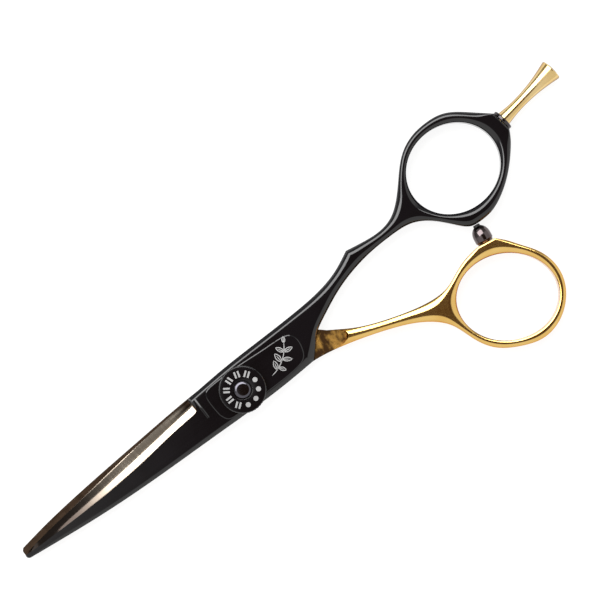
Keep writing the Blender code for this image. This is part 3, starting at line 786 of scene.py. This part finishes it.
def gold_finish():
    """Gold plate on the handle. The plate ends at the neck, in mottled brown, and the blade beyond is
    coated bronze. The gold is painted darker on its steep sides, a painted shade for the dark that
    those sides reflect."""
    mat, wiring, shader = new_material("gold_plate")
    x, z = wiring.axis(0), wiring.axis(2)
    cloud = wiring.ramp(wiring.noise(150), 0.3, 0.7)
    fine = wiring.noise(5200, detail=5)
    # Painted shade: the gold turns to a darker colour on steep sides.
    gold = wiring.blend(wiring.steep(0.06, 0.42), wiring.blend(cloud, GOLD_DEEP, GOLD), GOLD_SIDE_SHADE)
    patches = wiring.ramp(wiring.noise(400, stretch=(1, 1.4, 1), detail=5), 0.44, 0.7)
    neck = wiring.blend(patches, (0.06, 0.03, 0.012), (0.75, 0.42, 0.1))
    streaks = wiring.noise(900, stretch=(14, 1, 1), detail=4)
    bronze = wiring.blend(wiring.ramp(streaks, 0.35, 0.65), (0.048, 0.03, 0.019), (0.062, 0.04, 0.026))
    at_neck = wiring.ramp(wiring.sums("ADD", x, wiring.sums("MULTIPLY", cloud, 2.0)), 17.5, 21.0)
    low = wiring.ramp(z, CONTACT_Z + 0.02, CONTACT_Z - 0.02)
    back_end = wiring.ramp(x, 27.55, 27.7, 1.0, 0.0)
    bare = wiring.sums("MULTIPLY", low, back_end)
    colour = wiring.blend(bare, gold, wiring.blend(at_neck, bronze, neck))
    rough = wiring.ramp(fine, 0.3, 0.7, 0.12, 0.17)
    rough_neck = wiring.ramp(patches, 0.0, 1.0, 0.32, 0.27)
    node = wiring.nodes.new("ShaderNodeMix")
    wiring.feed(node.inputs[0], bare)
    wiring.feed(node.inputs[2], rough)
    wiring.feed(node.inputs[3], rough_neck)
    wiring.finish(shader, colour, node.outputs[0], 1.0)
    wiring.bump(shader, wiring.noise(1400, detail=4), 0.04, 0.00003)
    return mat


def black_finish():
    """Gloss black coating with faint clouds and hair scratches."""
    mat, wiring, shader = new_material("black_coating")
    cloud = wiring.ramp(wiring.noise(110), 0.3, 0.7)
    scratches = wiring.noise(1500, stretch=(22, 1, 1), detail=5)
    colour = wiring.blend(cloud, (0.0022, 0.002, 0.0028), (0.004, 0.0036, 0.0048))
    wiring.finish(shader, colour, wiring.ramp(scratches, 0.3, 0.7, 0.085, 0.105), 0.0)
    shader.inputs["IOR"].default_value = 1.58
    wiring.bump(shader, scratches, 0.03, 0.000004)
    return mat


def ground_finish():
    """Fine-ground steel with grinding lines that cross the edge. Its colour is painted dark towards the
    tip, and dark brown beside the ricasso, above the line that the slope's highlight follows, and at
    the grind's end: painted shade for the dark the slope reflects there."""
    mat, wiring, shader = new_material("ground_steel")
    lines = wiring.noise(700, stretch=(0.3, 26, 26), detail=4, turn=math.radians(12))
    along = wiring.noise(260, stretch=(30, 1, 1), detail=3)
    tone = wiring.sums("ADD", wiring.sums("MULTIPLY", lines, 0.4), wiring.sums("MULTIPLY", along, 0.6))
    colour = wiring.blend(wiring.ramp(tone, 0.35, 0.65), (0.46, 0.38, 0.3), (0.6, 0.52, 0.43))
    # Painted shade: the slope darkens towards the tip.
    away_from_tip_shade = wiring.ramp(wiring.axis(0), -56, -30)
    away_from_tip_shade = wiring.sums("MULTIPLY", away_from_tip_shade, away_from_tip_shade)
    # Painted shade: dark brown beside the ricasso, above the line that the slope's highlight follows, and at
    # the grind's end.
    line = wiring.sums("ADD", wiring.sums("MULTIPLY", wiring.axis(0), -0.097), -5.2)
    above = wiring.ramp(wiring.sums("ADD", wiring.axis(1), line), 0, 0.5)
    heel = wiring.sums("MULTIPLY", above, wiring.ramp(wiring.axis(0), -20, -12.6))
    heel = wiring.sums("MAXIMUM", heel, wiring.ramp(wiring.axis(0), -12.1, -11.7))
    colour = wiring.blend(heel, colour, (0.035, 0.02, 0.012))
    colour = wiring.blend(away_from_tip_shade, (0.045, 0.035, 0.03), colour)
    wiring.finish(shader, colour, wiring.ramp(lines, 0.3, 0.7, 0.13, 0.16), 1.0)
    wiring.bump(shader, lines, 0.03, 0.000003)
    return mat


def inner_finish():
    """The flat inside of a blade: satin steel with lines along it."""
    mat, wiring, shader = new_material("inner_face")
    lines = wiring.noise(800, stretch=(24, 1, 1), detail=4)
    colour = wiring.blend(lines, (0.24, 0.19, 0.15), (0.4, 0.34, 0.28))
    wiring.finish(shader, colour, wiring.ramp(lines, 0.3, 0.7, 0.26, 0.36), 1.0)
    return mat


def make_materials():
    return {
        "black": black_finish(),
        "ground": ground_finish(),
        "gold": gold_finish(),
        "inner": inner_finish(),
        "gold_plain": simple_finish("gold_rest", *REST_GOLD, 0.17, edge=REST_SIDE_SHADE),
        "dark": simple_finish("dark_metal", (0.05, 0.045, 0.048), (0.085, 0.078, 0.08), 0.14),
        "steel": simple_finish("steel", (0.55, 0.53, 0.5), (0.66, 0.64, 0.62), 0.28),
        "bronze": simple_finish("bearing_bronze", (0.5, 0.3, 0.12), (0.62, 0.4, 0.18), 0.32),
        "cap": simple_finish("black_chrome", (0.1, 0.097, 0.115), (0.12, 0.116, 0.13), 0.1),
        "gunmetal": simple_finish("gunmetal", (0.12, 0.098, 0.1), (0.15, 0.125, 0.128), 0.13),
        "silver": simple_finish("silver_marking", (0.26, 0.26, 0.26), (0.36, 0.36, 0.36), 0.5, 0.0),
        "polymer": simple_finish("washer_polymer", (0.7, 0.68, 0.62), (0.78, 0.76, 0.7), 0.5, 0.0),
        "soft": simple_finish("soft_pad", (0.006, 0.006, 0.006), (0.014, 0.014, 0.014), 0.4, 0.0),
    }


# --- Pieces ---


def finger_section(x, y):
    """Shoulder of the finger half's outline: width, most share of the room, section of the handle. It
    is wider round the corner where the underside of the handle begins."""
    widest = np.interp(x, SHOULDER_AT, FINGER_WIDTHS)
    widest += CORNER_WIDTH * np.exp(-(((x - CORNER_X) / CORNER_REACH) ** 2)) * (y < 0)
    return widest, FINGER_SHARE, "oval"


def thumb_section(x, y):
    """The same for the thumb half. Round its ring the crest shifts from the outside above to the
    inside below."""
    at_ring = np.interp(x, THUMB_RING_RUN, (0, 1))
    ring_share = np.interp(y, THUMB_RING_RISE, (0.58, 0.27))
    share = (1 - at_ring) * FINGER_SHARE + at_ring * ring_share
    return np.interp(x, SHOULDER_AT, THUMB_WIDTHS), share, "round"


def finger_hole_section(x, y):
    return np.full(len(x), 1.5), FINGER_SHARE, "oval"


def thumb_hole_section(x, y):
    return np.full(len(x), 1.9), np.interp(y, THUMB_RING_RISE, (0.26, 0.6)), "round"


def drill(radius, low, high, sides=32):
    return turned([(0, low), (radius, low), (radius, high), (0, high)], sides)


def finger_half(mats):
    outline = joined(
        FINGER_EDGE, FINGER_SHOULDER, FINGER_BACK, FINGER_RING_TOP, FINGER_RING_LOW, FINGER_SPINE,
        FINGER_TIP,
    )
    mesh = half_mesh(
        "finger_blade", outline, ellipse(FINGER_HOLE), (finger_section, finger_hole_section),
        (mats["black"], mats["ground"], mats["inner"]), False,
    )
    bore = BUSH_RADIUS + FIT_GAP
    top = HANDLE_HIGH + 1
    stepped = [
        (0, 2), (bore, 2), (bore, COUNTERBORE_Z), (COUNTERBORE_RADIUS, COUNTERBORE_Z),
        (COUNTERBORE_RADIUS, top), (0, top),
    ]
    inner = CONTACT_Z + BLADE_GAP
    panel = smooth_through((*PANEL, PANEL[0]), 0.3)[:-1]
    panel_levels = ((BODY_OUT - 0.4, 0), (BODY_OUT, 0), (BODY_OUT + PANEL_RISE, -PANEL_BEVEL))
    mark = drill(RICASSO_CUT, -5, 5, 16)
    mark_place = Matrix.Translation(Vector((RICASSO_X, RICASSO_Y, BODY_OUT + RICASSO_RISE)) * MM)
    across = mark_place @ Matrix.Rotation(math.radians(RICASSO_TURN), 4, "X")
    hole_radius, hole_depth = REST_HOLE
    mesh = combined(
        mesh, (stacked(panel, panel_levels), HERE, "UNION"), (lap(lap_wall(FINGER_LAP_RADIUS)), HERE),
        (turned(stepped, 96), HERE), (ring_groove(inner - 0.5, inner + GROOVE_DEPTH), HERE),
        (mark, across), (drill(hole_radius, -hole_depth, 2), pointing(*REST_SEAT)),
    )
    paint(mesh, lambda x, y, z, up: (np.abs(z - inner) < 0.01) & (up < -0.9), 2)
    add_piece("finger_blade_fine", mesh, "finger_half", "finger_blade")


def paint(mesh, where, index):
    """Gives the faces that a rule picks from their centres and upward normals a material index."""
    count = len(mesh.polygons)
    centre, normal = np.empty(3 * count), np.empty(3 * count)
    mesh.polygons.foreach_get("center", centre)
    mesh.polygons.foreach_get("normal", normal)
    x, y, z = centre.reshape(-1, 3).T / MM
    kinds = np.empty(count, int)
    mesh.polygons.foreach_get("material_index", kinds)
    kinds[where(x, y, z, normal.reshape(-1, 3)[:, 2])] = index
    mesh.polygons.foreach_set("material_index", kinds)


def thumb_half(mats):
    outline = joined(THUMB_TIP, THUMB_SPINE, THUMB_SHANK_TOP, THUMB_RING, THUMB_SHOULDER, THUMB_EDGE)
    mesh = half_mesh(
        "thumb_blade", outline, ellipse(THUMB_HOLE), (thumb_section, thumb_hole_section),
        (mats["gold"], mats["ground"]), True,
    )
    flat = NECK_FLAT + FIT_GAP
    reach = NECK_RADIUS + FIT_GAP
    inner = CONTACT_Z - BLADE_GAP
    neck = smooth_through(NECK_END, 0.2)
    hole_radius, hole_depth = BUMPER_HOLE
    bore = [(0, 0), (reach, 0, flat), (reach, 4, flat), (0, 4)]
    mesh = combined(
        mesh, (flipped(lap(neck)), HERE), (turned(bore, 96), HERE),
        (ring_groove(inner - GROOVE_DEPTH, inner + 0.5), HERE),
        (drill(hole_radius, -hole_depth, 2), pointing(*BUMPER_SEAT)),
    )
    add_piece("thumb_blade_fine", mesh, "thumb_half", "thumb_blade")


def tension_dial(mats):
    bore = SHAFT_RADIUS + FIT_GAP
    rim = DIAL_RADIUS
    edge = DIAL_BEVEL
    profile = [
        (bore, DIAL_LOW), (rim - edge, DIAL_LOW), (rim, DIAL_LOW + edge), (rim, DIAL_HIGH - edge),
        (rim - edge, DIAL_HIGH), (WELL_RADIUS, DIAL_HIGH), (WELL_RADIUS, WELL_Z), (bore, WELL_Z),
    ]

    def fluted(radius, z, angle):
        """The radius cut back by the flutes, which fade in over the last of it."""
        depth = FLUTE_DEPTH * min(1, max(0, (radius - (rim - FLUTE_START)) / FLUTE_START))
        return radius - depth * (0.5 + 0.5 * math.cos(FLUTES * angle)) ** 2

    mesh = mesh_of("tension_dial", turned(eased(profile, 0.06), 8 * FLUTES, fluted), mats["black"])
    add_piece("tension_dial_fine", mesh, "dial", "tension_dial")


def merged(solids):
    points, faces = [], []
    for some_points, some_faces in solids:
        start = len(points)
        points.extend(some_points)
        faces.extend([[start + i for i in face] for face in some_faces])
    return points, faces


def dial_marks(mats):
    """Plain index marks round the dial: six pairs of bars and four dots."""
    x, y = BAR_LENGTH / 2, BAR_WIDTH / 2
    bar = [(-x, -y), (x, -y), (x, y), (-x, y)]
    turns = np.linspace(0, 2 * math.pi, 24, endpoint=False)
    dot = [(DOT_RADIUS * math.cos(t), DOT_RADIUS * math.sin(t)) for t in turns]
    bars = [[(x, y + side) for x, y in bar] for side in (-BAR_OFFSET, BAR_OFFSET)]
    solids = []
    for place in range(MARK_PLACES):
        angle = math.radians(MARK_START - MARK_STEP * place)
        c, s = math.cos(angle), math.sin(angle)
        for shape in bars if place < BAR_PLACES else [dot]:
            out = [(x + MARK_RADIUS, y) for x, y in shape]
            placed = [(c * x - s * y, s * x + c * y) for x, y in out]
            solids.append(prism(placed, DIAL_HIGH - 0.04, DIAL_HIGH + 0.03))
    mesh = mesh_of("dial_marks", merged(solids), mats["silver"])
    add_piece("dial_marks", mesh, "dial")


def stroke(line, width, low, high):
    """A thin raised line along points, with tapered ends."""
    line = np.array(line, float)
    along = np.gradient(line, axis=0)
    along /= np.linalg.norm(along, axis=1)[:, None]
    side = np.column_stack([-along[:, 1], along[:, 0]])
    ends = np.minimum(np.arange(len(line)), np.arange(len(line))[::-1])
    half = 0.5 * width * np.minimum(1, 0.35 + 0.3 * ends)[:, None]
    left, right = line + side * half, line - side * half
    count = len(line)
    points = [(x, y, z) for z in (low, high) for x, y in (*right, *left[::-1])]
    faces = []
    for i in range(count - 1):
        a, b = i, i + 1
        c, d = 2 * count - 2 - i, 2 * count - 1 - i
        faces.append((d, c, b, a))
        faces.append((a + 2 * count, b + 2 * count, c + 2 * count, d + 2 * count))
    for i in range(2 * count):
        j = (i + 1) % (2 * count)
        faces.append((i, j, j + 2 * count, i + 2 * count))
    return points, faces


def leaf(base, angle, length, width):
    """The two outline curves and the vein of a pointed leaf."""
    t = np.linspace(0, 1, 17)
    bulge = width * np.sin(np.pi * t) ** 0.9 * (1 - 0.25 * t)
    c, s = math.cos(math.radians(angle)), math.sin(math.radians(angle))

    def placed(x, y):
        return np.column_stack([base[0] + c * x - s * y, base[1] + s * x + c * y])

    return [
        placed(length * t, bulge), placed(length * t, -bulge),
        placed(length * np.linspace(0, 0.72, 9), np.zeros(9)),
    ]


def sprig(mats):
    """A small leafy sprig in silver line on the panel beside the dial."""
    stem = smooth_through(SPRIG_STEM, 0.3)
    lines = [stem]
    for share, angle, length, width in SPRIG_LEAVES:
        lines += leaf(stem[round(share * (len(stem) - 1))], angle, length, width)
    level = BODY_OUT + PANEL_RISE
    solids = [stroke(line, SPRIG_LINE, level - 0.03, level + 0.02) for line in lines]
    mesh = mesh_of("sprig_engraving", merged(solids), mats["silver"])
    add_piece("sprig_engraving", mesh, "finger_half")


def dial_cap(mats):
    dome = [(CAP_RADIUS, CAP_LOW), (CAP_RADIUS, CAP_LOW + CAP_SIDE)]
    steps = 60
    run = CAP_RADIUS / steps
    for slope in np.interp(np.arange(steps - 1) / steps, *zip(*CAP_SLOPES)):
        radius, z = dome[-1]
        dome.append((radius - run, z + run * math.tan(math.radians(slope))))
    shank = [(0, CAP_SHANK_LOW), (CAP_SHANK_RADIUS, CAP_SHANK_LOW), (CAP_SHANK_RADIUS, CAP_LOW)]
    profile = [*shank, *dome, (0, dome[-1][1])]
    add_turned("dial_cap", profile, 96, mats["cap"], "thumb_half")


def pivot_bolt(mats):
    bevel = 0.25
    bore = 0.8
    profile = [
        (0, 0), (HEAD_RADIUS - bevel, 0), (HEAD_RADIUS, bevel), (HEAD_RADIUS, HEAD_THICK),
        (NECK_RADIUS, HEAD_THICK, NECK_FLAT), (NECK_RADIUS, 3.1, NECK_FLAT), (SHAFT_RADIUS, 3.1),
        (SHAFT_RADIUS, 5.35), (SHAFT_RADIUS, 5.35, SHAFT_FLAT), (SHAFT_RADIUS, SHAFT_TOP, SHAFT_FLAT),
        (bore, SHAFT_TOP), (bore, 5.7), (0, 5.7),
    ]
    pin = drill(SPANNER_HOLE_RADIUS, -1, SPANNER_HOLE_DEPTH)
    places = [Matrix.Translation(Vector((x, 0, 0)) * MM) for x in (-SPANNER_HOLE_X, SPANNER_HOLE_X)]
    mesh = mesh_of("pivot_bolt", turned(profile, 128), mats["steel"])
    mesh = combined(mesh, *((pin, place) for place in places))
    add_piece("pivot_bolt_fine", mesh, "thumb_half", "pivot_bolt")


def finger_rest(mats):
    base = COLLAR_THICK + 2 * FIT_GAP
    stud = [(0, -REST_STUD_LENGTH), (REST_STUD_RADIUS, -REST_STUD_LENGTH), (REST_STUD_RADIUS, base)]
    side = smooth_through(((1.8, base), *REST_SIDE, (2.7, REST_LENGTH - 0.3)), 0.3)
    end = [(2.72, REST_LENGTH - 0.1), (2.6, REST_LENGTH + 0.08), (1.5, REST_LENGTH + 0.35)]
    profile = [*stud, *map(tuple, side), *end, (0, REST_LENGTH + 0.45)]
    mat = mats["gold_plain"]
    add_turned("finger_rest", profile, 96, mat, "finger_half", pointing(*REST_SEAT))


def finger_rest_collar(mats):
    low = FIT_GAP
    high = low + COLLAR_THICK
    profile = [(COLLAR_BORE, low), (COLLAR_RADIUS, low), (COLLAR_RADIUS, high), (COLLAR_BORE, high)]
    profile = eased(profile, 0.3, 6)
    place = pointing(*REST_SEAT)
    add_turned("finger_rest_collar", profile, 96, mats["dark"], "finger_half", place)


def bumper_barrel(mats):
    dome = [
        (BUMPER_RADIUS * math.cos(t), BUMPER_DOME + (BUMPER_TOP - BUMPER_DOME) * math.sin(t))
        for t in np.linspace(0, math.acos(SOCKET_RADIUS / BUMPER_RADIUS), 12)
    ]
    stud = [
        (0, -BUMPER_STUD_LENGTH), (BUMPER_STUD_RADIUS, -BUMPER_STUD_LENGTH), (BUMPER_STUD_RADIUS, FIT_GAP),
    ]
    foot = [(1.9, FIT_GAP), (1.95, 0.5), (BUMPER_RADIUS, 0.75)]
    below = eased([*stud, *foot, dome[0], dome[1]], 0.2, 6)[:-1]
    profile = [*below, *dome[1:], (SOCKET_RADIUS, SOCKET_Z), (0, SOCKET_Z)]
    place = pointing(*BUMPER_SEAT)
    add_turned("bumper_barrel", profile, 96, mats["gunmetal"], "thumb_half", place)


def bumper_pad(mats):
    low = SOCKET_Z + FIT_GAP
    profile = [
        (0, low), (PAD_RADIUS, low), (PAD_RADIUS, PAD_TOP - 0.1), (0.7, PAD_TOP - 0.02), (0, PAD_TOP),
    ]
    place = pointing(*BUMPER_SEAT)
    add_turned("bumper_pad", eased(profile, 0.15), 64, mats["soft"], "thumb_half", place)


def inner_pieces(mats):
    """The nodes inside the pivot keep their shape and take a finished material."""
    finish = {
        "pivot_bush": "bronze", "friction_washer": "polymer", "click_spring": "steel",
        "bearing_cage": "bronze",
    }
    for name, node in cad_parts.items():
        key = finish.get(name) or ("steel" if name.startswith("bearing_ball") else None)
        if key:
            node.data.materials.clear()
            node.data.materials.append(mats[key])


# --- Stage ---


def make_camera():
    """A long lens straight above, with the shears' long axis rising to the right."""
    camera = new_object("camera", bpy.data.cameras.new("camera"))
    camera.data.sensor_width = SENSOR_WIDTH
    camera.data.lens = SENSOR_WIDTH * VIEW_DISTANCE / VIEW_WIDTH
    camera.location = Vector((*VIEW_CENTRE, CONTACT_Z + VIEW_DISTANCE)) * MM
    camera.rotation_euler = (0, 0, math.radians(VIEW_TURN))
    camera.data.clip_end = 10
    bpy.context.scene.camera = camera


def make_floor():
    bm = bmesh.new()
    bmesh.ops.create_grid(bm, x_segments=8, y_segments=8, size=FLOOR_SIZE)
    mesh = bpy.data.meshes.new("floor")
    bm.to_mesh(mesh)
    bm.free()
    mat, wiring, shader = new_material("floor_paper")
    paper = wiring.blend(wiring.noise(700), (0.17, 0.17, 0.17), (0.2, 0.2, 0.2))
    wiring.finish(shader, paper, 0.9, 0.0)
    shader.inputs["Specular IOR Level"].default_value = 0.0
    shader.inputs["Emission Color"].default_value = (1.0, 1.0, 1.0, 1)
    shader.inputs["Emission Strength"].default_value = FLOOR_GLOW
    mesh.materials.append(mat)
    new_object("floor", mesh)


def towards(azimuth, zenith):
    a, z = math.radians(azimuth), math.radians(zenith)
    return Vector((math.sin(z) * math.cos(a), math.sin(z) * math.sin(a), math.cos(z)))


def add_softbox(name, azimuth, zenith, width, spread, radiance, distance=1.3):
    """A rectangular light that faces the shears from an azimuth in the XY plane and an angle from
    straight above. It is `width` metres wide and covers `spread` degrees of the angle from above."""
    data = bpy.data.lights.new(name, "AREA")
    data.shape = "RECTANGLE"
    data.size = width
    data.size_y = 2 * distance * math.tan(math.radians(spread / 2))
    data.energy = radiance * math.pi * data.size * data.size_y
    light = new_object(name, data)
    way = towards(azimuth, zenith)
    light.location = Vector((LIGHT_X, 0, 0)) * MM + way * distance
    light.rotation_euler = way.to_track_quat("Z", "Y").to_euler()


def make_world():
    """A pale studio tent. It is dark round a spot just off the zenith, where the camera looks through,
    and dimmer behind the softbox."""
    world = bpy.data.worlds.new("studio")
    bpy.context.scene.world = world
    world.use_nodes = True
    nodes, links = world.node_tree.nodes, world.node_tree.links
    wiring = Wiring(nodes, links)
    way = wiring.coordinates["Generated"]
    dot = nodes.new("ShaderNodeVectorMath")
    dot.operation = "DOT_PRODUCT"
    links.new(way, dot.inputs[0])
    dot.inputs[1].default_value = towards(*OPENING_AT)
    split = nodes.new("ShaderNodeSeparateXYZ")
    links.new(way, split.inputs["Vector"])
    away = wiring.ramp(dot.outputs["Value"], 0.965, 0.9)
    links.new(wiring.blend(away, OPENING, TENT), nodes["Background"].inputs["Color"])
    behind = wiring.ramp(split.outputs["Y"], 0.05, 0.3, 1.0, BEHIND_SOFTBOX)
    links.new(behind, nodes["Background"].inputs["Strength"])


def main():
    bpy.context.scene.view_settings.view_transform = "Standard"
    make_camera()
    make_floor()
    make_world()
    add_softbox("key_softbox", 90, 33, 1.6, 45, 5.2)
    mats = make_materials()
    for build in (
        finger_half, thumb_half, tension_dial, dial_marks, sprig, dial_cap, pivot_bolt, finger_rest,
        finger_rest_collar, bumper_barrel, bumper_pad, inner_pieces,
    ):
        build(mats)


main()
